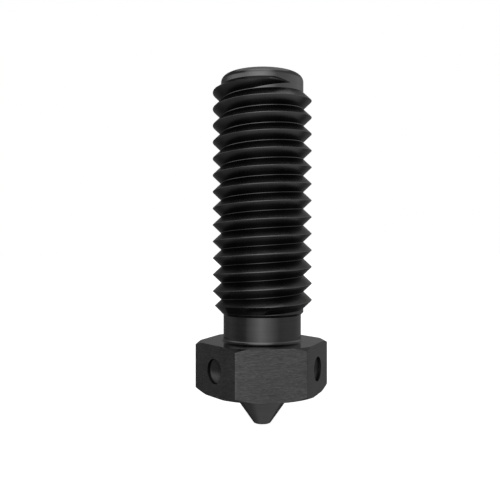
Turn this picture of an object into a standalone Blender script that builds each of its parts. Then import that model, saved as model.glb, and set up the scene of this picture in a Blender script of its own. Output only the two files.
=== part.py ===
"""A long M6 nozzle for a 3-D printer's hot end: one turned and milled piece of blackened steel.

The nozzle stands on its tip, with its axis along +Z and the origin in the middle of the
tip's end face. Two corners of its hexagon lie on the X axis, so two flats face -Y and +Y.
"""

import math

import bmesh
import bpy
from mathutils import Matrix

MM = 0.001

# Heights above the tip's end face
TIP_HEIGHT = 2.0 * MM
HEX_HEIGHT = 3.0 * MM
SHANK_HEIGHT = 16.0 * MM
HEX_BOTTOM = TIP_HEIGHT
HEX_TOP = HEX_BOTTOM + HEX_HEIGHT
OVERALL_HEIGHT = HEX_TOP + SHANK_HEIGHT

# Tip: a cone down to a small end face with a rounded edge
TIP_END_RADIUS = 0.5 * MM
TIP_ROOT_RADIUS = 1.91 * MM
TIP_EDGE_ROUNDING = 0.12 * MM

# Hexagon: six flats milled on a round collar whose two edges are bevelled
HEX_ACROSS_FLATS = 7.0 * MM
COLLAR_RADIUS = 4.2 * MM
COLLAR_TOP_RADIUS = 3.74 * MM
COLLAR_BOTTOM_RADIUS = 3.6 * MM
COLLAR_BEVEL_ANGLE = math.radians(30)

# Plain neck between the hexagon and the thread
NECK_RADIUS = 2.35 * MM
NECK_HEIGHT = 1.58 * MM
NECK_FILLET = 0.2 * MM

# M6 x 1 thread: a sharp-crested ridge wound round a cylinder, right-handed
PITCH = 1.0 * MM
CREST_RADIUS = 3.0 * MM
ROOT_RADIUS = 2.5 * MM
THREAD_ANGLE = math.radians(87)
THREAD_DEPTH = CREST_RADIUS - ROOT_RADIUS
SHANK_EDGE_ROUNDING = 0.4 * MM
RIDGE_OVERLAP = 0.01 * MM
RIDGE_SUNK_DEPTH = 0.15 * MM

# The ridge begins to fade at this height and bearing, counted from +X, and bends down a little
TOP_TURN_HEIGHT = 20.19 * MM
TOP_TURN_BEARING = math.radians(-111)
TOP_FADE_ANGLE = math.radians(53)
TOP_FADE_DROP = 0.19 * MM
FULL_TURNS_ANGLE = 2 * math.pi * 13 + math.radians(85)
BOTTOM_FADE_ANGLE = math.radians(80)

# Both ends of the ridge are also cut back to a cone: a lead-in above, the neck's below
LEAD_IN_FOOT_HEIGHT = 20.39 * MM
LEAD_IN_ANGLE = math.radians(33.5)
NECK_CONE_GAP = 0.01 * MM

# Filament channel, from the orifice in the tip to the countersunk mouth
ORIFICE_RADIUS = 0.2 * MM
ORIFICE_LENGTH = 0.6 * MM
BORE_RADIUS = 1.0 * MM
BORE_TAPER_HALF_ANGLE = math.radians(30)
MOUTH_BEVEL = 0.25 * MM

# Two drilled marks on the flats either side of the one that faces -Y
MARK_RADIUS = 0.72 * MM
MARK_WALL_DEPTH = 0.2 * MM
DRILL_POINT_HALF_ANGLE = math.radians(59)
MARK_BEARINGS = (math.radians(-150), math.radians(-30))

TURNED_SEGMENTS = 48
HALF_SEGMENT = math.pi / TURNED_SEGMENTS
BORE_SEGMENTS = 32
MARK_SEGMENTS = 24
WELD_DISTANCE = 1e-8
CUTTER_MARGIN = 1.0 * MM


def clear_scene():
    for item in list(bpy.data.objects):
        bpy.data.objects.remove(item, do_unlink=True)


def arc(centre_radius, centre_height, radius, start, end, steps):
    """Points (distance from the axis, height) along an arc, between two angles in radians."""
    angles = [start + (end - start) * i / steps for i in range(steps + 1)]
    return [
        (centre_radius + radius * math.cos(a), centre_height + radius * math.sin(a))
        for a in angles
    ]


def make_object(name, bm, material=None):
    """Turns a closed bmesh into an object with its faces pointing out."""
    bmesh.ops.recalc_face_normals(bm, faces=bm.faces)
    mesh = bpy.data.meshes.new(name)
    bm.to_mesh(mesh)
    bm.free()
    mesh.shade_smooth()
    mesh.set_sharp_from_angle(angle=math.radians(30))
    if material is not None:
        mesh.materials.append(material)
    item = bpy.data.objects.new(name, mesh)
    bpy.context.collection.objects.link(item)
    return item


def turned(profile, segments, start_angle=0.0):
    """A closed solid of revolution whose profile starts and ends on the axis."""
    bm = bmesh.new()
    verts = [bm.verts.new((radius, 0.0, height)) for radius, height in profile]
    edges = [bm.edges.new(pair) for pair in zip(verts, verts[1:])]
    bmesh.ops.rotate(bm, verts=verts, cent=(0, 0, 0), matrix=Matrix.Rotation(start_angle, 3, "Z"))
    bmesh.ops.spin(
        bm,
        geom=verts + edges,
        cent=(0, 0, 0),
        axis=(0, 0, 1),
        angle=2 * math.pi,
        steps=segments,
        use_merge=True,
    )
    bmesh.ops.remove_doubles(bm, verts=bm.verts, dist=WELD_DISTANCE)
    return bm


def body_profile():
    """Outline of the turned blank, from the middle of the tip's end face up to the top."""
    slope = math.atan2(TIP_ROOT_RADIUS - TIP_END_RADIUS, TIP_HEIGHT)
    setback = TIP_EDGE_ROUNDING * math.tan((math.pi / 2 - slope) / 2)
    bevel_slope = math.tan(COLLAR_BEVEL_ANGLE)
    neck_top = HEX_TOP + NECK_HEIGHT
    tip_edge = arc(
        TIP_END_RADIUS - setback, TIP_EDGE_ROUNDING, TIP_EDGE_ROUNDING, -math.pi / 2, -slope, 3
    )
    collar = [
        (TIP_ROOT_RADIUS, HEX_BOTTOM),
        (COLLAR_BOTTOM_RADIUS, HEX_BOTTOM),
        (COLLAR_RADIUS, HEX_BOTTOM + (COLLAR_RADIUS - COLLAR_BOTTOM_RADIUS) * bevel_slope),
        (COLLAR_RADIUS, HEX_TOP - (COLLAR_RADIUS - COLLAR_TOP_RADIUS) * bevel_slope),
        (COLLAR_TOP_RADIUS, HEX_TOP),
    ]
    neck_foot = arc(
        NECK_RADIUS + NECK_FILLET,
        HEX_TOP + NECK_FILLET,
        NECK_FILLET,
        math.pi * 3 / 2,
        math.pi,
        4,
    )
    thread_foot = [
        (NECK_RADIUS, neck_top),
        (ROOT_RADIUS, neck_top + ROOT_RADIUS - NECK_RADIUS),
    ]
    top_edge = arc(
        ROOT_RADIUS - SHANK_EDGE_ROUNDING,
        OVERALL_HEIGHT - SHANK_EDGE_ROUNDING,
        SHANK_EDGE_ROUNDING,
        0.0,
        math.pi / 2,
        5,
    )
    outline = tip_edge + collar + neck_foot + thread_foot + top_edge
    return [(0.0, 0.0), *outline, (0.0, OVERALL_HEIGHT)]


def ridge_fade(angle):
    """How far the ridge has faded, 0 to 1, above and below its full turns.

    The angle is counted down the helix from the place where the top turn is still whole.
    """
    above = max(-angle / TOP_FADE_ANGLE, 0.0)
    below = max((angle - FULL_TURNS_ANGLE) / BOTTOM_FADE_ANGLE, 0.0)
    return above, below


def thread_ridge():
    """The ridge as a closed solid, its turns kept apart and its foot inside the shank.

    Each section is a triangular crest on a narrow stem. Towards both ends the whole section
    moves inwards, so the ridge sinks into the shank without losing its flank angle.
    """
    step = 2 * math.pi / TURNED_SEGMENTS
    foot_half_width = (THREAD_DEPTH + RIDGE_OVERLAP) * math.tan(THREAD_ANGLE / 2)
    section = [
        (CREST_RADIUS, 0.0),
        (ROOT_RADIUS - RIDGE_OVERLAP, foot_half_width),
        (ROOT_RADIUS - RIDGE_SUNK_DEPTH, foot_half_width),
        (ROOT_RADIUS - RIDGE_SUNK_DEPTH, -foot_half_width),
        (ROOT_RADIUS - RIDGE_OVERLAP, -foot_half_width),
    ]
    highest = TOP_TURN_BEARING + TOP_FADE_ANGLE
    lowest = TOP_TURN_BEARING - FULL_TURNS_ANGLE - BOTTOM_FADE_ANGLE
    first = math.floor((lowest - HALF_SEGMENT) / step)
    last = math.ceil((highest - HALF_SEGMENT) / step)
    bm = bmesh.new()
    rings = []
    for index in range(first, last + 1):
        bearing = HALF_SEGMENT + index * step
        above, below = ridge_fade(TOP_TURN_BEARING - bearing)
        sink = (above + below) * THREAD_DEPTH
        rise = PITCH * (bearing - TOP_TURN_BEARING) / (2 * math.pi)
        crest_height = TOP_TURN_HEIGHT + rise - above * TOP_FADE_DROP
        rings.append(
            [
                bm.verts.new(
                    (
                        (radius - sink) * math.cos(bearing),
                        (radius - sink) * math.sin(bearing),
                        crest_height + offset,
                    )
                )
                for radius, offset in section
            ]
        )
    for lower, upper in zip(rings, rings[1:]):
        for i, j in zip(range(len(section)), [*range(1, len(section)), 0]):
            bm.faces.new((lower[i], lower[j], upper[j], upper[i]))
    bm.faces.new(rings[0])
    bm.faces.new(rings[-1])
    bmesh.ops.triangulate(bm, faces=bm.faces)
    return bm


def thread_envelope_profile():
    """Outline of the space that the ridge may fill, between the two cones at its ends."""
    inner = ROOT_RADIUS - 2 * RIDGE_SUNK_DEPTH
    outer = CREST_RADIUS + CUTTER_MARGIN
    neck_cone_offset = HEX_TOP + NECK_HEIGHT + NECK_CONE_GAP - NECK_RADIUS
    lead_in_slope = math.tan(LEAD_IN_ANGLE)
    low_inner = neck_cone_offset + inner
    low_outer = neck_cone_offset + outer
    high_inner = LEAD_IN_FOOT_HEIGHT + (ROOT_RADIUS - inner) * lead_in_slope
    high_outer = LEAD_IN_FOOT_HEIGHT + (ROOT_RADIUS - outer) * lead_in_slope
    return [
        (0.0, low_inner),
        (inner, low_inner),
        (outer, low_outer),
        (outer, high_outer),
        (inner, high_inner),
        (0.0, high_inner),
    ]


def hexagon_cutter():
    """A thick tube with a hexagonal hole, which leaves the six flats on the collar."""
    corner_radius = HEX_ACROSS_FLATS / 2 / math.cos(math.pi / 6)
    bottom = HEX_BOTTOM - CUTTER_MARGIN / 2
    height = HEX_HEIGHT + CUTTER_MARGIN
    bm = bmesh.new()
    loops = []
    for radius in (corner_radius, corner_radius + 2 * CUTTER_MARGIN):
        verts = [
            bm.verts.new((radius * math.cos(a), radius * math.sin(a), bottom))
            for a in (math.pi / 3 * i for i in range(6))
        ]
        loops.append([bm.edges.new((verts[i], verts[i - 1])) for i in range(6)])
    floor = bmesh.ops.bridge_loops(bm, edges=loops[0] + loops[1])["faces"]
    lifted = bmesh.ops.extrude_face_region(bm, geom=floor, use_keep_orig=True)["geom"]
    lifted_verts = [v for v in lifted if isinstance(v, bmesh.types.BMVert)]
    bmesh.ops.translate(bm, verts=lifted_verts, vec=(0, 0, height))
    return bm


def channel_profile():
    """Outline of the filament channel, with both ends carried past the nozzle."""
    taper_top = ORIFICE_LENGTH + (BORE_RADIUS - ORIFICE_RADIUS) / math.tan(BORE_TAPER_HALF_ANGLE)
    return [
        (0.0, -CUTTER_MARGIN),
        (ORIFICE_RADIUS, -CUTTER_MARGIN),
        (ORIFICE_RADIUS, ORIFICE_LENGTH),
        (BORE_RADIUS, taper_top),
        (BORE_RADIUS, OVERALL_HEIGHT - MOUTH_BEVEL),
        (BORE_RADIUS + MOUTH_BEVEL + CUTTER_MARGIN, OVERALL_HEIGHT + CUTTER_MARGIN),
        (0.0, OVERALL_HEIGHT + CUTTER_MARGIN),
    ]


def mark_cutter(bearing):
    """A drill with a conical point, aimed at the middle of the flat at this bearing."""
    point_depth = MARK_RADIUS / math.tan(DRILL_POINT_HALF_ANGLE)
    profile = [
        (0.0, -MARK_WALL_DEPTH - point_depth),
        (MARK_RADIUS, -MARK_WALL_DEPTH),
        (MARK_RADIUS, CUTTER_MARGIN),
        (0.0, CUTTER_MARGIN),
    ]
    bm = turned(profile, MARK_SEGMENTS)
    place = (
        Matrix.Rotation(bearing, 4, "Z")
        @ Matrix.Translation((HEX_ACROSS_FLATS / 2, 0.0, HEX_BOTTOM + HEX_HEIGHT / 2))
        @ Matrix.Rotation(math.pi / 2, 4, "Y")
    )
    bmesh.ops.transform(bm, matrix=place, verts=bm.verts)
    return bm


def blackened_steel():
    material = bpy.data.materials.new("blackened_steel")
    material.use_nodes = True
    shader = material.node_tree.nodes["Principled BSDF"]
    shader.inputs["Base Color"].default_value = (0.06, 0.06, 0.062, 1.0)
    shader.inputs["Metallic"].default_value = 0.9
    shader.inputs["Roughness"].default_value = 0.38
    return material


def make_guide(name, bm):
    """A hidden shape that only serves a Boolean modifier."""
    guide = make_object(name, bm)
    guide.hide_render = True
    guide.display_type = "WIRE"
    return guide


def shape_with(target, guide, operation):
    """Adds, keeps or removes what lies inside a guide, with a Boolean modifier on the target."""
    modifier = target.modifiers.new(guide.name, "BOOLEAN")
    modifier.operation = operation
    modifier.solver = "MANIFOLD"
    modifier.object = guide


def build_nozzle():
    blank = turned(body_profile(), TURNED_SEGMENTS, HALF_SEGMENT)
    envelope = turned(thread_envelope_profile(), TURNED_SEGMENTS, HALF_SEGMENT)
    channel = turned(channel_profile(), BORE_SEGMENTS)
    nozzle = make_object("nozzle", blank, blackened_steel())
    ridge = make_guide("thread_ridge", thread_ridge())
    shape_with(ridge, make_guide("thread_envelope", envelope), "INTERSECT")
    shape_with(nozzle, ridge, "UNION")
    shape_with(nozzle, make_guide("hexagon_cutter", hexagon_cutter()), "DIFFERENCE")
    shape_with(nozzle, make_guide("filament_channel", channel), "DIFFERENCE")
    for number, bearing in enumerate(MARK_BEARINGS, start=1):
        drill = make_guide(f"drilled_mark_{number}", mark_cutter(bearing))
        shape_with(nozzle, drill, "DIFFERENCE")
    return nozzle


clear_scene()
build_nozzle()
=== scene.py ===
import math
from typing import NamedTuple

import bmesh
import bpy
from mathutils import Matrix, Vector


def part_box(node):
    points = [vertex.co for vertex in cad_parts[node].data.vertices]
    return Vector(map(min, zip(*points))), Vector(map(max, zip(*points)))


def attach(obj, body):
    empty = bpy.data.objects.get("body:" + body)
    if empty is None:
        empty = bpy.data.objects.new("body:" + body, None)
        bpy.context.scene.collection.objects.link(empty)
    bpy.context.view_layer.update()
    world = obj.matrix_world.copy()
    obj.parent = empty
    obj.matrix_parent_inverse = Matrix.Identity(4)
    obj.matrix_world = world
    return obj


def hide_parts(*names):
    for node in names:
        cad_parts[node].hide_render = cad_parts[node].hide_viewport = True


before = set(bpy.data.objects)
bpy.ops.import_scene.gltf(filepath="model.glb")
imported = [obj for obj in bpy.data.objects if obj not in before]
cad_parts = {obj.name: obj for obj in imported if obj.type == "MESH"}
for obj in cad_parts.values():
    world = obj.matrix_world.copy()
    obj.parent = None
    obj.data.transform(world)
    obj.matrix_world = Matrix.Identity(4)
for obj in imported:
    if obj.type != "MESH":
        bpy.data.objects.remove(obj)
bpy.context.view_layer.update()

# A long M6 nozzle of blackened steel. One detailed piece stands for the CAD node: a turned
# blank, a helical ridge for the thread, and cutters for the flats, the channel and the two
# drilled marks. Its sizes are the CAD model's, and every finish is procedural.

# Sizes are in metres and heights are above the tip's end face. Bearings are angles about
# the nozzle's axis, from the X axis.
MM = 0.001
LOW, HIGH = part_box("nozzle")

# Tip, collar and neck
OVERALL_HEIGHT = HIGH[2]
HEX_BOTTOM = 2.0 * MM
HEX_TOP = 5.0 * MM
HEX_MIDDLE = (HEX_BOTTOM + HEX_TOP) / 2
HEX_ACROSS_FLATS = HIGH[1] - LOW[1]
HEX_CORNERS = 6
HEX_CORNER_STEP = math.pi / 3
HEX_HALF_STEP = math.pi / 6
TIP_END_RADIUS = 0.5 * MM
TIP_ROOT_RADIUS = 1.91 * MM
TIP_EDGE_ROUNDING = 0.12 * MM
COLLAR_RADIUS = 4.2 * MM
COLLAR_TOP_RADIUS = 3.74 * MM
COLLAR_BOTTOM_RADIUS = 3.6 * MM
COLLAR_BEVEL_ANGLE = math.radians(30)
CORNER_ROUNDING = 0.02 * MM
NECK_RADIUS = 2.35 * MM
NECK_HEIGHT = 1.58 * MM
NECK_FILLET = 0.2 * MM

# Thread: full turns down from a bearing near the top, and a fade into the shank at both ends
PITCH = 1.0 * MM
CREST_RADIUS = 3.0 * MM
ROOT_RADIUS = 2.5 * MM
THREAD_ANGLE = math.radians(87)
THREAD_DEPTH = CREST_RADIUS - ROOT_RADIUS
CREST_ROUNDING = 0.03 * MM
SHANK_EDGE_ROUNDING = 0.4 * MM
TOP_TURN_HEIGHT = 20.19 * MM
TOP_TURN_BEARING = math.radians(-111)
TOP_FADE_ANGLE = math.radians(53)
TOP_FADE_DROP = 0.19 * MM
FULL_TURNS = 13
FULL_TURNS_ANGLE = 2 * math.pi * FULL_TURNS + math.radians(85)
BOTTOM_FADE_ANGLE = math.radians(80)
LEAD_IN_FOOT_HEIGHT = 20.39 * MM
LEAD_IN_ANGLE = math.radians(33.5)
NECK_CONE_GAP = 0.01 * MM
RIDGE_OVERLAP = 0.01 * MM
RIDGE_SUNK_DEPTH = 0.15 * MM

# Filament channel and drilled marks
ORIFICE_RADIUS = 0.2 * MM
ORIFICE_LENGTH = 0.6 * MM
BORE_RADIUS = 1.0 * MM
BORE_TAPER_HALF_ANGLE = math.radians(30)
MOUTH_BEVEL = 0.25 * MM
MARK_RADIUS = 0.72 * MM
MARK_WALL_DEPTH = 0.2 * MM
DRILL_POINT_HALF_ANGLE = math.radians(59)
MARK_BEARINGS = (math.radians(-150), math.radians(-30))

# Facets, and the margins that cutters need
TURNED_SEGMENTS = 144
HALF_SEGMENT = math.pi / TURNED_SEGMENTS
BORE_SEGMENTS = 96
MARK_SEGMENTS = 64
TIP_EDGE_STEPS = 8
NECK_FILLET_STEPS = 12
SHANK_EDGE_STEPS = 16
CREST_STEPS = 6
HEX_CORNER_STEPS = 4
SUPPORT_LENGTH = 0.03 * MM
WELD_DISTANCE = 1e-8
CUTTER_MARGIN = 1.0 * MM
SHARP_ANGLE = math.radians(28)

# Reflectivity of the turned and threaded oxide, the flats, the drilled marks, worn places
# and the painted shade at the bottom of the groove between two turns of the thread
OXIDE_LEVEL = 0.13
MILLED_LEVEL = 0.118
# Painted shade: the drilled marks are darker than the flats, as shade in their recesses
DRILLED_SHADE_LEVEL = 0.1
WORN_LEVEL = 0.17
# Painted shade: the thread is darkened to this level at the bottom of its groove
GROOVE_SHADE_LEVEL = 0.06

# Specular tint, which sets how bright the steel turns at grazing angles
EDGE_TINT = 0.75
# Painted shade: the drilled marks' low tint dims their grazing reflection, as shade in their
# recesses
DRILLED_SHADE_EDGE_TINT = 0.1


class Finish(NamedTuple):
    """How tool marks show on a steel.

    contrast is how far they change its reflectivity, spread how far they and the smudges
    change its roughness, and depth how deep they are in metres.
    """

    contrast: float
    roughness: float
    spread: float
    depth: float


TURNED_FINISH = Finish(contrast=0.05, roughness=0.16, spread=0.03, depth=0.15e-6)
THREAD_FINISH = Finish(contrast=0.1, roughness=0.25, spread=0.05, depth=0.4e-6)
MILLED_FINISH = Finish(contrast=0.32, roughness=0.3, spread=0.06, depth=0.8e-6)
DRILLED_FINISH = Finish(contrast=0.12, roughness=0.36, spread=0.06, depth=0.8e-6)
BORE_FINISH = Finish(contrast=0.06, roughness=0.28, spread=0.05, depth=0.5e-6)

# Noise: its spots per millimetre along X, Y and Z, its rings per millimetre away from an
# axis, its level of detail, and its offset, which keeps two noises apart
TURNED_SPOTS = (0.3, 0.3, 9.0)
TURNED_RINGS = 9.0
THREAD_SPOTS = (0.5, 0.5, 0.8)
THREAD_RINGS = 22.0
SHORT_MARK_SPOTS = (5.0, 5.0, 20.0)
LONG_MARK_SPOTS = (1.3, 1.3, 16.0)
LONG_MARK_OFFSET = 2.0
LONG_MARK_SHARE = 0.4
GLINT_SPOTS = (4.5, 4.5, 20.0)
GLINT_OFFSET = 5.0
SCUFF_SPOTS = (3.0, 3.0, 3.0)
DRILLED_SPOTS = (0.9, 0.9, 0.9)
DRILLED_RINGS = 12.0
BORE_SPOTS = (0.4, 0.4, 7.0)
SMUDGE_SPOTS = (0.7, 0.7, 0.7)
FINE_DETAIL = 3.0
SOFT_DETAIL = 2.0
NOISE_ROUGHNESS = 0.6

# The part of a noise's range over which it takes effect, from none to all of it
NOISE_RANGE = (0.3, 0.7)
MIXED_NOISE_RANGE = (0.35, 0.65)
SCUFF_RANGE = (0.35, 0.6)
GLINT_RANGE = (0.58, 0.7)
SMUDGE_CONTRAST = 0.05
SMUDGE_SHARE = 0.5

# Wear on the thread's crest and the hexagon's corners, and painted shade in the thread's groove,
# with widths in millimetres
# Painted shade: the groove is darkest up to this width above the root, then fades out towards the
# crest
GROOVE_SHADE_WIDTH = 0.15
CREST_WEAR_WIDTH = 0.03
CREST_WEAR = 0.04
CORNER_WEAR_WIDTH = 0.07
CORNER_WEAR = 0.35

# Camera: level, a little left of the nozzle, and turned round it by its azimuth
CAMERA_AZIMUTH = math.radians(-7.2)
CAMERA_DISTANCE = 38.0 * MM
CAMERA_SIDESTEP = 0.739 * MM
CAMERA_HEIGHT = 10.475 * MM
CAMERA_LENS = 45.0
CAMERA_SENSOR = 36.0
CAMERA_CLIP_START = 1.0 * MM
CAMERA_CLIP_END = 10.0

# Studio light: a ring at the horizon and one above it, as (azimuth, level). Azimuths are in
# degrees from the camera's side of the nozzle, positive to the camera's right.
LOW_RING_LEVELS = (
    (-180, 0.18),
    (-130, 0.215),
    (-107, 0.245),
    (-75, 0.135),
    (-60, 0.14),
    (-50, 0.17),
    (-47, 0.3),
    (-29, 0.58),
    (-5, 1.04),
    (11, 0.77),
    (34, 0.47),
    (45, 0.34),
    (50, 0.26),
    (107, 0.32),
    (133, 0.4),
    (180, 0.18),
)
HIGH_RING_LEVELS = (
    (-180, 0.32),
    (-165, 0.3),
    (-150, 0.2),
    (-120, 0.35),
    (-105, 0.8),
    (-90, 1.2),
    (-72, 1.2),
    (-44, 1.25),
    (0, 1.3),
    (25, 1.2),
    (40, 0.6),
    (68, 0.66),
    (92, 0.8),
    (120, 0.95),
    (150, 0.45),
    (180, 0.32),
)

# Above the rings is the ceiling, and below them are the lower walls
CEILING_LEVEL_LEFT = 0.17
CEILING_LEVEL_RIGHT = 0.35
LOWER_LEVEL_LEFT = 0.23
LOWER_LEVEL_RIGHT = 0.48
LOWER_LEVEL_BACK = 0.12

# Where they blend, on the upward, rightward (side) or forward (back) part of a unit direction
CEILING_SIDE_BLEND = (-0.3, 0.6)
LOWER_SIDE_BLEND = (-0.5, -0.2)
LOWER_BACK_BLEND = (-0.65, -0.45)
LOWER_TO_LOW_RING = (-0.45, -0.2)
LOW_TO_HIGH_RING = (-0.02, 0.2)
HIGH_RING_TO_CEILING = (0.3, 0.5)

# A round soft box high in front, a second one close above the nozzle, and the pale floor
FRONT_BOX_AZIMUTH = math.radians(-10)
FRONT_BOX_ELEVATION = math.radians(42)
FRONT_BOX_LEVEL = 1.0
FRONT_BOX_CORE = math.radians(12)
FRONT_BOX_EDGE = math.radians(42)
TOP_BOX_DIAMETER = 26.0 * MM
TOP_BOX_HEIGHT = 36.0 * MM
TOP_BOX_POWER = 0.001
STUDIO_LEVEL = 0.77
BACKDROP_LEVEL = 1.0
WHITE = (1.0, 1.0, 1.0, 1.0)
FLOOR_SIZE = 2.0
FLOOR_GAP = 0.01 * MM
FLOOR_COLOUR = (0.8, 0.8, 0.8, 1.0)
FLOOR_ROUGHNESS = 0.9
FLOOR_GLOW = 0.9


def arc(centre_radius, centre_height, radius, start, end, steps):
    """Points (distance from the axis, height) along an arc, between two angles in radians."""
    angles = [start + (end - start) * i / steps for i in range(steps + 1)]
    return [
        (centre_radius + radius * math.cos(a), centre_height + radius * math.sin(a))
        for a in angles
    ]


def make_object(name, bm, material):
    """Turns a bmesh into a smooth shaded object in the scene."""
    bmesh.ops.recalc_face_normals(bm, faces=bm.faces)
    mesh = bpy.data.meshes.new(name)
    bm.to_mesh(mesh)
    bm.free()
    mesh.shade_smooth()
    mesh.materials.append(material)
    item = bpy.data.objects.new(name, mesh)
    bpy.context.scene.collection.objects.link(item)
    return item


def turned(profile, segments, start_angle=0.0):
    """A closed solid of revolution whose profile starts and ends on the axis."""
    bm = bmesh.new()
    verts = [bm.verts.new((radius, 0.0, height)) for radius, height in profile]
    edges = [bm.edges.new(pair) for pair in zip(verts, verts[1:])]
    start = Matrix.Rotation(start_angle, 3, "Z")
    bmesh.ops.rotate(bm, verts=verts, cent=(0, 0, 0), matrix=start)
    bmesh.ops.spin(
        bm,
        geom=verts + edges,
        cent=(0, 0, 0),
        axis=(0, 0, 1),
        angle=2 * math.pi,
        steps=segments,
        use_merge=True,
    )
    bmesh.ops.remove_doubles(bm, verts=bm.verts, dist=WELD_DISTANCE)
    return bm


def body_profile():
    """Outline of the blank from the tip up: cone, collar, neck and shank."""
    slope = math.atan2(TIP_ROOT_RADIUS - TIP_END_RADIUS, HEX_BOTTOM)
    setback = TIP_EDGE_ROUNDING * math.tan((math.pi / 2 - slope) / 2)
    bevel_slope = math.tan(COLLAR_BEVEL_ANGLE)
    neck_top = HEX_TOP + NECK_HEIGHT
    tip_edge = arc(
        TIP_END_RADIUS - setback,
        TIP_EDGE_ROUNDING,
        TIP_EDGE_ROUNDING,
        -math.pi / 2,
        -slope,
        TIP_EDGE_STEPS,
    )
    collar = [
        (TIP_ROOT_RADIUS, HEX_BOTTOM),
        (COLLAR_BOTTOM_RADIUS, HEX_BOTTOM),
        (COLLAR_RADIUS, HEX_BOTTOM + (COLLAR_RADIUS - COLLAR_BOTTOM_RADIUS) * bevel_slope),
        (COLLAR_RADIUS, HEX_TOP - (COLLAR_RADIUS - COLLAR_TOP_RADIUS) * bevel_slope),
        (COLLAR_TOP_RADIUS, HEX_TOP),
        (NECK_RADIUS + NECK_FILLET + SUPPORT_LENGTH, HEX_TOP),
    ]
    neck_foot = arc(
        NECK_RADIUS + NECK_FILLET,
        HEX_TOP + NECK_FILLET,
        NECK_FILLET,
        math.pi * 3 / 2,
        math.pi,
        NECK_FILLET_STEPS,
    )
    shank = [
        (NECK_RADIUS, HEX_TOP + NECK_FILLET + SUPPORT_LENGTH),
        (NECK_RADIUS, neck_top),
        (ROOT_RADIUS, neck_top + ROOT_RADIUS - NECK_RADIUS),
        (ROOT_RADIUS, OVERALL_HEIGHT - SHANK_EDGE_ROUNDING - SUPPORT_LENGTH),
    ]
    top_edge = arc(
        ROOT_RADIUS - SHANK_EDGE_ROUNDING,
        OVERALL_HEIGHT - SHANK_EDGE_ROUNDING,
        SHANK_EDGE_ROUNDING,
        0.0,
        math.pi / 2,
        SHANK_EDGE_STEPS,
    )
    top = [
        (ROOT_RADIUS - SHANK_EDGE_ROUNDING - SUPPORT_LENGTH, OVERALL_HEIGHT),
        (0.0, OVERALL_HEIGHT),
    ]
    return [(0.0, 0.0)] + tip_edge + collar + neck_foot + shank + top_edge + top


def ridge_fade(angle):
    """How far the ridge has faded above and below its full turns, 0 to 1 and just beyond."""
    above = max(-angle / TOP_FADE_ANGLE, 0.0)
    below = max((angle - FULL_TURNS_ANGLE) / BOTTOM_FADE_ANGLE, 0.0)
    return above, below


def ridge_section():
    """Outline of the ridge: a rounded crest, two flanks and a stem inside the shank."""
    half = THREAD_ANGLE / 2
    crest_centre = CREST_RADIUS - CREST_ROUNDING
    apex = crest_centre + CREST_ROUNDING / math.sin(half)
    foot_radius = ROOT_RADIUS - RIDGE_OVERLAP
    foot_half_width = (apex - foot_radius) * math.tan(half)
    lean = math.pi / 2 - half
    crest = arc(crest_centre, 0.0, CREST_ROUNDING, -lean, lean, CREST_STEPS)
    support = crest[-1][0] - SUPPORT_LENGTH
    upper = [
        (support, (apex - support) * math.tan(half)),
        (foot_radius, foot_half_width),
        (ROOT_RADIUS - RIDGE_SUNK_DEPTH, foot_half_width),
    ]
    lower = [(radius, -height) for radius, height in reversed(upper)]
    return lower + crest + upper


def thread_ridge():
    """The ridge as a closed solid, which sinks into the shank towards both ends."""
    step = 2 * math.pi / TURNED_SEGMENTS
    section = ridge_section()
    highest = TOP_TURN_BEARING + TOP_FADE_ANGLE
    lowest = TOP_TURN_BEARING - FULL_TURNS_ANGLE - BOTTOM_FADE_ANGLE
    first = math.floor((lowest - HALF_SEGMENT) / step) - 1
    last = math.ceil((highest - HALF_SEGMENT) / step) + 1
    bm = bmesh.new()
    rings = []
    for index in range(first, last + 1):
        bearing = HALF_SEGMENT + index * step
        above, below = ridge_fade(TOP_TURN_BEARING - bearing)
        sink = (above + below) * THREAD_DEPTH
        rise = PITCH * (bearing - TOP_TURN_BEARING) / (2 * math.pi)
        crest_height = TOP_TURN_HEIGHT + rise - above * TOP_FADE_DROP
        points = [(radius - sink, crest_height + offset) for radius, offset in section]
        rings.append(
            [
                bm.verts.new((radius * math.cos(bearing), radius * math.sin(bearing), height))
                for radius, height in points
            ]
        )
    for lower, upper in zip(rings, rings[1:]):
        for i, j in zip(range(len(section)), [*range(1, len(section)), 0]):
            bm.faces.new((lower[i], lower[j], upper[j], upper[i]))
    bm.faces.new(rings[0])
    bm.faces.new(rings[-1])
    bmesh.ops.triangulate(bm, faces=bm.faces)
    return bm


def thread_envelope_profile():
    """Outline of the space that the ridge may fill, between the two cones at its ends."""
    inner = ROOT_RADIUS - 2 * RIDGE_SUNK_DEPTH
    outer = CREST_RADIUS + CUTTER_MARGIN
    neck_cone_offset = HEX_TOP + NECK_HEIGHT + NECK_CONE_GAP - NECK_RADIUS
    lead_in_slope = math.tan(LEAD_IN_ANGLE)
    low_inner = neck_cone_offset + inner
    low_outer = neck_cone_offset + outer
    high_inner = LEAD_IN_FOOT_HEIGHT + (ROOT_RADIUS - inner) * lead_in_slope
    high_outer = LEAD_IN_FOOT_HEIGHT + (ROOT_RADIUS - outer) * lead_in_slope
    return [
        (0.0, low_inner),
        (inner, low_inner),
        (outer, low_outer),
        (outer, high_outer),
        (inner, high_inner),
        (0.0, high_inner),
    ]


def rounded_hexagon(steps):
    """Corner points of the hexagon, each corner eased by a small arc."""
    centre = (HEX_ACROSS_FLATS / 2 - CORNER_ROUNDING) / math.cos(HEX_HALF_STEP)
    points = []
    for corner in range(HEX_CORNERS):
        bearing = HEX_CORNER_STEP * corner
        for i in range(steps + 1):
            a = bearing - HEX_HALF_STEP + HEX_CORNER_STEP * i / steps
            points.append(
                (
                    centre * math.cos(bearing) + CORNER_ROUNDING * math.cos(a),
                    centre * math.sin(bearing) + CORNER_ROUNDING * math.sin(a),
                )
            )
    return points


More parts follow.
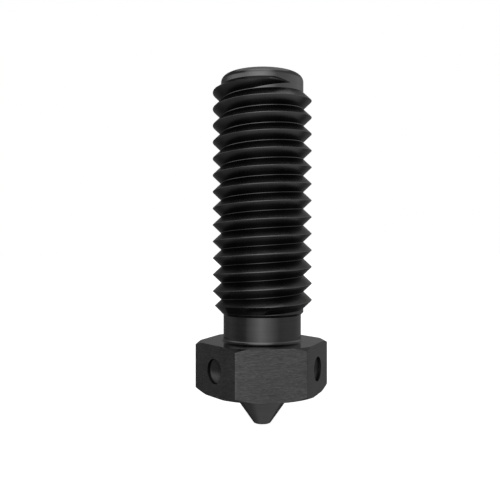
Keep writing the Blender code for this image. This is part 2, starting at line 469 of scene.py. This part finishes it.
def hexagon_cutter():
    """A thick tube with a hexagonal hole, which leaves the six flats on the collar."""
    bottom = HEX_BOTTOM - CUTTER_MARGIN / 2
    top = HEX_TOP + CUTTER_MARGIN / 2
    inner = rounded_hexagon(HEX_CORNER_STEPS)
    outer_scale = (COLLAR_RADIUS + CUTTER_MARGIN) / HEX_ACROSS_FLATS * 2
    bm = bmesh.new()
    rings = [
        [bm.verts.new((x * scale, y * scale, height)) for x, y in inner]
        for scale, height in (
            (1.0, bottom),
            (1.0, top),
            (outer_scale, top),
            (outer_scale, bottom),
        )
    ]
    for ring, after in zip(rings, rings[1:] + rings[:1]):
        for i in range(len(inner)):
            bm.faces.new((ring[i - 1], ring[i], after[i], after[i - 1]))
    return bm


def channel_profile():
    """Outline of the filament channel: orifice, taper, bore and the bevelled mouth."""
    taper_top = ORIFICE_LENGTH + (BORE_RADIUS - ORIFICE_RADIUS) / math.tan(BORE_TAPER_HALF_ANGLE)
    return [
        (0.0, -CUTTER_MARGIN),
        (ORIFICE_RADIUS, -CUTTER_MARGIN),
        (ORIFICE_RADIUS, ORIFICE_LENGTH),
        (BORE_RADIUS, taper_top),
        (BORE_RADIUS, OVERALL_HEIGHT - MOUTH_BEVEL),
        (BORE_RADIUS + MOUTH_BEVEL + CUTTER_MARGIN, OVERALL_HEIGHT + CUTTER_MARGIN),
        (0.0, OVERALL_HEIGHT + CUTTER_MARGIN),
    ]


def mark_cutter(bearing):
    """A drill with its point, sunk into the middle of one flat."""
    point_depth = MARK_RADIUS / math.tan(DRILL_POINT_HALF_ANGLE)
    profile = [
        (0.0, -MARK_WALL_DEPTH - point_depth),
        (MARK_RADIUS, -MARK_WALL_DEPTH),
        (MARK_RADIUS, CUTTER_MARGIN),
        (0.0, CUTTER_MARGIN),
    ]
    bm = turned(profile, MARK_SEGMENTS)
    place = (
        Matrix.Rotation(bearing, 4, "Z")
        @ Matrix.Translation((HEX_ACROSS_FLATS / 2, 0.0, HEX_MIDDLE))
        @ Matrix.Rotation(math.pi / 2, 4, "Y")
    )
    bmesh.ops.transform(bm, matrix=place, verts=bm.verts)
    return bm


def linked(tree, socket, value):
    """Feeds a socket from another socket, or sets it to a plain value."""
    if isinstance(value, bpy.types.NodeSocket):
        tree.links.new(value, socket)
    else:
        socket.default_value = value


def math_node(tree, operation, *values):
    node = tree.nodes.new("ShaderNodeMath")
    node.operation = operation
    for socket, value in zip(node.inputs, values):
        linked(tree, socket, value)
    return node.outputs[0]


def vector_node(tree, operation, *values):
    node = tree.nodes.new("ShaderNodeVectorMath")
    node.operation = operation
    for socket, value in zip(node.inputs, values):
        linked(tree, socket, value)
    return node.outputs["Value" if operation in ("DOT_PRODUCT", "LENGTH") else "Vector"]


def range_node(tree, value, low, high, to_low=0.0, to_high=1.0):
    """A smooth step from to_low to to_high, as value goes from low to high."""
    node = tree.nodes.new("ShaderNodeMapRange")
    node.interpolation_type = "SMOOTHSTEP"
    for socket, item in zip(node.inputs, (value, low, high, to_low, to_high)):
        linked(tree, socket, item)
    return node.outputs["Result"]


def mix_node(tree, factor, first, second):
    """A blend of two values. The node's second input is its factor for vectors, unused here."""
    node = tree.nodes.new("ShaderNodeMix")
    node.data_type = "FLOAT"
    sockets = (node.inputs[0], node.inputs[2], node.inputs[3])
    for socket, item in zip(sockets, (factor, first, second)):
        linked(tree, socket, item)
    return node.outputs[0]


def noise_node(tree, position, spots, offset=0.0, detail=FINE_DETAIL):
    """Noise drawn out along a tool's path, by fewer spots per millimetre in that direction.

    offset moves through the noise's fourth dimension. It may be a socket that counts rings.
    """
    node = tree.nodes.new("ShaderNodeTexNoise")
    node.noise_dimensions = "4D"
    linked(tree, node.inputs["Vector"], vector_node(tree, "MULTIPLY", position, spots))
    linked(tree, node.inputs["W"], offset)
    node.inputs["Scale"].default_value = 1.0
    node.inputs["Detail"].default_value = detail
    node.inputs["Roughness"].default_value = NOISE_ROUGHNESS
    return node.outputs["Fac"]


def axis_distance(tree, position):
    """Distance from the nozzle's axis, in millimetres."""
    return vector_node(tree, "LENGTH", vector_node(tree, "MULTIPLY", position, (1, 1, 0)))


def mark_distance(tree, position):
    """Distance from the nearer drilled mark's axis, in millimetres.

    The marks mirror each other across the YZ plane, so one axis serves for both.
    """
    mirrored = vector_node(tree, "ABSOLUTE", position)
    offset = vector_node(tree, "SUBTRACT", mirrored, (0, 0, HEX_MIDDLE / MM))
    axis = (math.cos(MARK_BEARINGS[1]), -math.sin(MARK_BEARINGS[1]), 0)
    along = vector_node(tree, "PROJECT", offset, axis)
    return vector_node(tree, "LENGTH", vector_node(tree, "SUBTRACT", offset, along))


class Steel:
    """A blackened steel, whose marks come from its own function below.

    Its position is in millimetres.
    """

    def __init__(self, name, edge_tint=EDGE_TINT):
        self.material = bpy.data.materials.new(name)
        self.material.use_nodes = True
        self.tree = self.material.node_tree
        self.shader = self.tree.nodes["Principled BSDF"]
        self.shader.inputs["Metallic"].default_value = 1.0
        tint = (edge_tint, edge_tint, edge_tint, 1.0)
        self.shader.inputs["Specular Tint"].default_value = tint
        coords = self.tree.nodes.new("ShaderNodeTexCoord").outputs["Object"]
        self.position = vector_node(self.tree, "DIVIDE", coords, (MM, MM, MM))

    def apply(self, marks, level, finish):
        """Colours, roughens and embosses the steel by its marks, with level its reflectivity."""
        tree = self.tree
        smudges = noise_node(tree, self.position, SMUDGE_SPOTS, detail=SOFT_DETAIL)
        dark, bright = 1.0 - finish.contrast, 1.0 + finish.contrast
        streak = range_node(tree, marks, *NOISE_RANGE, dark, bright)
        dark, bright = 1.0 - SMUDGE_CONTRAST, 1.0 + SMUDGE_CONTRAST
        patch = range_node(tree, smudges, *NOISE_RANGE, dark, bright)
        shade = math_node(tree, "MULTIPLY", math_node(tree, "MULTIPLY", streak, patch), level)
        linked(tree, self.shader.inputs["Base Color"], shade)
        rough = mix_node(tree, SMUDGE_SHARE, marks, smudges)
        smooth, coarse = finish.roughness - finish.spread, finish.roughness + finish.spread
        rough = range_node(tree, rough, *MIXED_NOISE_RANGE, smooth, coarse)
        linked(tree, self.shader.inputs["Roughness"], rough)
        bump = tree.nodes.new("ShaderNodeBump")
        bump.inputs["Distance"].default_value = finish.depth
        linked(tree, bump.inputs["Height"], marks)
        linked(tree, self.shader.inputs["Normal"], bump.outputs["Normal"])
        return self.material


def turned_steel():
    """Fine rings left by the lathe, on every surface turned about the axis."""
    steel = Steel("turned_steel")
    radius = axis_distance(steel.tree, steel.position)
    rings = math_node(steel.tree, "MULTIPLY", radius, TURNED_RINGS)
    marks = noise_node(steel.tree, steel.position, TURNED_SPOTS, rings)
    return steel.apply(marks, OXIDE_LEVEL, TURNED_FINISH)


def thread_steel_and_groove_shade():
    """Marks along the helix, painted shade in the groove between the turns and a lightly worn
    crest.
    """
    steel = Steel("thread_steel_and_groove_shade")
    tree = steel.tree
    radius = axis_distance(tree, steel.position)
    rings = math_node(tree, "MULTIPLY", radius, THREAD_RINGS)
    marks = noise_node(tree, steel.position, THREAD_SPOTS, rings)
    # Painted shade: the thread gets darker towards the root of its groove
    groove_shade_edge, crest = ROOT_RADIUS / MM + GROOVE_SHADE_WIDTH, CREST_RADIUS / MM
    level = range_node(tree, radius, groove_shade_edge, crest, GROOVE_SHADE_LEVEL, OXIDE_LEVEL)
    wear = range_node(tree, radius, crest - CREST_WEAR_WIDTH, crest, 0.0, CREST_WEAR)
    level = math_node(tree, "ADD", level, wear)
    return steel.apply(marks, level, THREAD_FINISH)


def milled_steel():
    """Level streaks left by the cutter on the flats, a few bright ones and rubbed corners."""
    steel = Steel("milled_steel")
    tree = steel.tree
    radius = axis_distance(tree, steel.position)
    short_marks = noise_node(tree, steel.position, SHORT_MARK_SPOTS)
    long_marks = noise_node(tree, steel.position, LONG_MARK_SPOTS, LONG_MARK_OFFSET)
    marks = mix_node(tree, LONG_MARK_SHARE, short_marks, long_marks)
    glints = noise_node(tree, steel.position, GLINT_SPOTS, GLINT_OFFSET, SOFT_DETAIL)
    corner = HEX_ACROSS_FLATS / 2 / math.cos(HEX_HALF_STEP) / MM
    scuffs = range_node(tree, noise_node(tree, steel.position, SCUFF_SPOTS), *SCUFF_RANGE)
    rubbed = range_node(tree, radius, corner - CORNER_WEAR_WIDTH, corner, 0.0, CORNER_WEAR)
    wear = math_node(tree, "MULTIPLY", scuffs, rubbed)
    wear = math_node(tree, "MAXIMUM", wear, range_node(tree, glints, *GLINT_RANGE))
    level = mix_node(tree, wear, MILLED_LEVEL, WORN_LEVEL)
    return steel.apply(marks, level, MILLED_FINISH)


def drilled_steel_and_shade():
    """Circles left by the drill in the two marks, which are painted darker as shade in their
    recesses.
    """
    steel = Steel("drilled_steel_and_shade", DRILLED_SHADE_EDGE_TINT)
    radius = mark_distance(steel.tree, steel.position)
    rings = math_node(steel.tree, "MULTIPLY", radius, DRILLED_RINGS)
    marks = noise_node(steel.tree, steel.position, DRILLED_SPOTS, rings, SOFT_DETAIL)
    return steel.apply(marks, DRILLED_SHADE_LEVEL, DRILLED_FINISH)


def bore_steel():
    """Rings left by the drill and reamer inside the filament channel."""
    steel = Steel("bore_steel")
    marks = noise_node(steel.tree, steel.position, BORE_SPOTS)
    return steel.apply(marks, OXIDE_LEVEL, BORE_FINISH)


def shape_with(target, tool, operation):
    """Adds or cuts a tool's shape, and gives the new faces the tool's material."""
    modifier = target.modifiers.new(tool.name, "BOOLEAN")
    modifier.operation = operation
    modifier.solver = "MANIFOLD"
    modifier.material_mode = "TRANSFER"
    modifier.object = tool


def apply_shapes(target):
    """Replaces the mesh by its result with every modifier applied, and removes the tools."""
    tools = [modifier.object for modifier in target.modifiers]
    tools += [modifier.object for tool in tools for modifier in tool.modifiers]
    graph = bpy.context.evaluated_depsgraph_get()
    result = bpy.data.meshes.new_from_object(target.evaluated_get(graph), depsgraph=graph)
    target.modifiers.clear()
    target.data = result
    for tool in tools:
        bpy.data.objects.remove(tool, do_unlink=True)
    result.set_sharp_from_angle(angle=SHARP_ANGLE)


def build_nozzle():
    """The nozzle's one piece, which stands for the CAD node."""
    lathe_finish = turned_steel()
    blank = turned(body_profile(), TURNED_SEGMENTS, HALF_SEGMENT)
    envelope = turned(thread_envelope_profile(), TURNED_SEGMENTS, HALF_SEGMENT)
    channel = turned(channel_profile(), BORE_SEGMENTS)
    nozzle = make_object("nozzle_body", blank, lathe_finish)
    ridge = make_object("ridge_tool", thread_ridge(), thread_steel_and_groove_shade())
    shape_with(ridge, make_object("envelope_tool", envelope, lathe_finish), "INTERSECT")
    shape_with(nozzle, ridge, "UNION")
    shape_with(nozzle, make_object("hexagon_tool", hexagon_cutter(), milled_steel()), "DIFFERENCE")
    shape_with(nozzle, make_object("channel_tool", channel, bore_steel()), "DIFFERENCE")
    shaded_drill_steel = drilled_steel_and_shade()
    for number, bearing in enumerate(MARK_BEARINGS, start=1):
        drill = make_object(f"mark_tool_{number}", mark_cutter(bearing), shaded_drill_steel)
        shape_with(nozzle, drill, "DIFFERENCE")
    apply_shapes(nozzle)
    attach(nozzle, "root")
    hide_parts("nozzle")


def make_camera():
    """A level camera, whose axis passes the nozzle's axis by the sidestep."""
    back = Vector(studio_direction(0.0, 0.0))
    right = Vector(studio_direction(math.pi / 2, 0.0))
    data = bpy.data.cameras.new("camera")
    data.lens = CAMERA_LENS
    data.sensor_width = CAMERA_SENSOR
    data.clip_start = CAMERA_CLIP_START
    data.clip_end = CAMERA_CLIP_END
    camera = bpy.data.objects.new("camera", data)
    camera.location = back * CAMERA_DISTANCE - right * CAMERA_SIDESTEP
    camera.location.z = CAMERA_HEIGHT
    camera.rotation_euler = (math.pi / 2, 0.0, CAMERA_AZIMUTH)
    bpy.context.scene.collection.objects.link(camera)
    bpy.context.scene.camera = camera


def ring_light(tree, azimuth, levels):
    """Brightness of a ring of the studio, from its levels and an azimuth in radians.

    The ramp's places 0 and 1 are both behind the nozzle, and 0.5 is the camera's side.
    """
    node = tree.nodes.new("ShaderNodeValToRGB")
    ramp = node.color_ramp
    ramp.interpolation = "LINEAR"
    ramp.elements.remove(ramp.elements[1])
    for index, (degrees, level) in enumerate(levels):
        place = degrees / 360 + 0.5
        element = ramp.elements[0] if index == 0 else ramp.elements.new(place)
        element.position = place
        element.color = (level, level, level, 1.0)
    turns = math_node(tree, "MULTIPLY_ADD", azimuth, 1 / (2 * math.pi), 0.5)
    linked(tree, node.inputs[0], turns)
    return node.outputs["Color"]


def studio_direction(azimuth, elevation):
    """Unit vector towards a place in the studio, its azimuth counted from the camera's side."""
    bearing = CAMERA_AZIMUTH - math.pi / 2 + azimuth
    return (
        math.cos(bearing) * math.cos(elevation),
        math.sin(bearing) * math.cos(elevation),
        math.sin(elevation),
    )


def make_world():
    """A soft studio: lower walls, two rings of light, a dim ceiling and a box in front.

    The camera itself sees plain white, and only reflections and light come from the studio.
    """
    world = bpy.data.worlds.new("studio")
    world.use_nodes = True
    tree = world.node_tree
    background = tree.nodes["Background"]
    direction = tree.nodes.new("ShaderNodeTexCoord").outputs["Generated"]
    front = vector_node(tree, "DOT_PRODUCT", direction, studio_direction(0.0, 0.0))
    side = vector_node(tree, "DOT_PRODUCT", direction, studio_direction(math.pi / 2, 0.0))
    height = vector_node(tree, "DOT_PRODUCT", direction, (0.0, 0.0, 1.0))
    azimuth = math_node(tree, "ARCTAN2", side, front)
    low_ring = ring_light(tree, azimuth, LOW_RING_LEVELS)
    high_ring = ring_light(tree, azimuth, HIGH_RING_LEVELS)
    ceiling = range_node(
        tree, side, *CEILING_SIDE_BLEND, CEILING_LEVEL_LEFT, CEILING_LEVEL_RIGHT
    )
    lower = range_node(tree, side, *LOWER_SIDE_BLEND, LOWER_LEVEL_LEFT, LOWER_LEVEL_RIGHT)
    lower = range_node(tree, front, *LOWER_BACK_BLEND, LOWER_LEVEL_BACK, lower)
    walls = mix_node(tree, range_node(tree, height, *LOWER_TO_LOW_RING), lower, low_ring)
    walls = mix_node(tree, range_node(tree, height, *LOW_TO_HIGH_RING), walls, high_ring)
    walls = mix_node(tree, range_node(tree, height, *HIGH_RING_TO_CEILING), walls, ceiling)
    box_direction = studio_direction(FRONT_BOX_AZIMUTH, FRONT_BOX_ELEVATION)
    box = range_node(
        tree,
        vector_node(tree, "DOT_PRODUCT", direction, box_direction),
        math.cos(FRONT_BOX_EDGE),
        math.cos(FRONT_BOX_CORE),
        0.0,
        FRONT_BOX_LEVEL,
    )
    level = math_node(tree, "MULTIPLY", math_node(tree, "ADD", walls, box), STUDIO_LEVEL)
    seen = tree.nodes.new("ShaderNodeLightPath").outputs["Is Camera Ray"]
    linked(tree, background.inputs["Color"], WHITE)
    linked(tree, background.inputs["Strength"], mix_node(tree, seen, level, BACKDROP_LEVEL))
    bpy.context.scene.world = world


def make_top_box():
    """A soft box close above the nozzle, which mostly lights its top end."""
    data = bpy.data.lights.new("top_box", "AREA")
    data.shape = "DISK"
    data.size = TOP_BOX_DIAMETER
    data.energy = TOP_BOX_POWER
    lamp = bpy.data.objects.new("top_box", data)
    lamp.location.z = TOP_BOX_HEIGHT
    lamp.visible_camera = False
    bpy.context.scene.collection.objects.link(lamp)


def make_floor():
    """A pale lit table under the tip. In reflections the studio's lower walls replace it."""
    bm = bmesh.new()
    bmesh.ops.create_grid(bm, x_segments=1, y_segments=1, size=FLOOR_SIZE / 2)
    bmesh.ops.translate(bm, verts=bm.verts, vec=(0.0, 0.0, LOW[2] - FLOOR_GAP))
    material = bpy.data.materials.new("table")
    material.use_nodes = True
    shader = material.node_tree.nodes["Principled BSDF"]
    shader.inputs["Base Color"].default_value = FLOOR_COLOUR
    shader.inputs["Roughness"].default_value = FLOOR_ROUGHNESS
    shader.inputs["Emission Color"].default_value = WHITE
    shader.inputs["Emission Strength"].default_value = FLOOR_GLOW
    floor = make_object("floor", bm, material)
    floor.visible_glossy = False


build_nozzle()
make_camera()
make_world()
make_top_box()
make_floor()
bpy.context.scene.view_settings.view_transform = "Standard"
